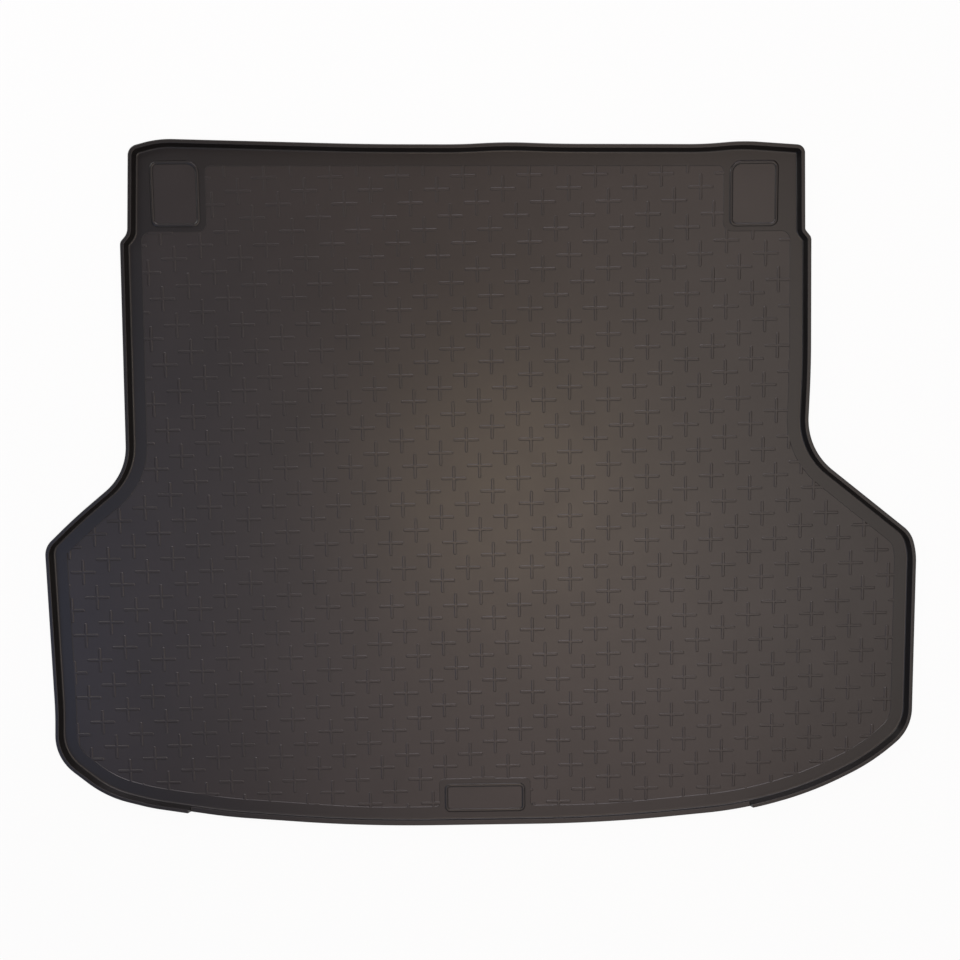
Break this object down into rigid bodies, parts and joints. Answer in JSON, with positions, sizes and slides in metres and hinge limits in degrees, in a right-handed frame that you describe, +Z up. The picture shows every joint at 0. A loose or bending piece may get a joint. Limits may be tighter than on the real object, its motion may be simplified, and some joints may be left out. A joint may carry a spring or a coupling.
{
  "type": "boot liner",
  "caption": "Moulded rubbery car boot mat: flat tray with a raised lip, a lower loading sill, wheel-arch waist, ringed corner pads and a field of small raised crosses.",
  "frame": {"origin": "middle of the footprint, in the plane of the flat underside", "axes": "+Z up, +Y toward the seats, +X to the right seen from above with the tailgate nearest"},
  "size_m": [1.352, 1.071, 0.0152],
  "materials": {
    "rubber": "satin moulded rubbery plastic, charcoal with a faint warm cast and a fine grain"
  },
  "bodies": {
    "root": {"boot_liner_mat": "rubber"}
  },
  "joints": []
}
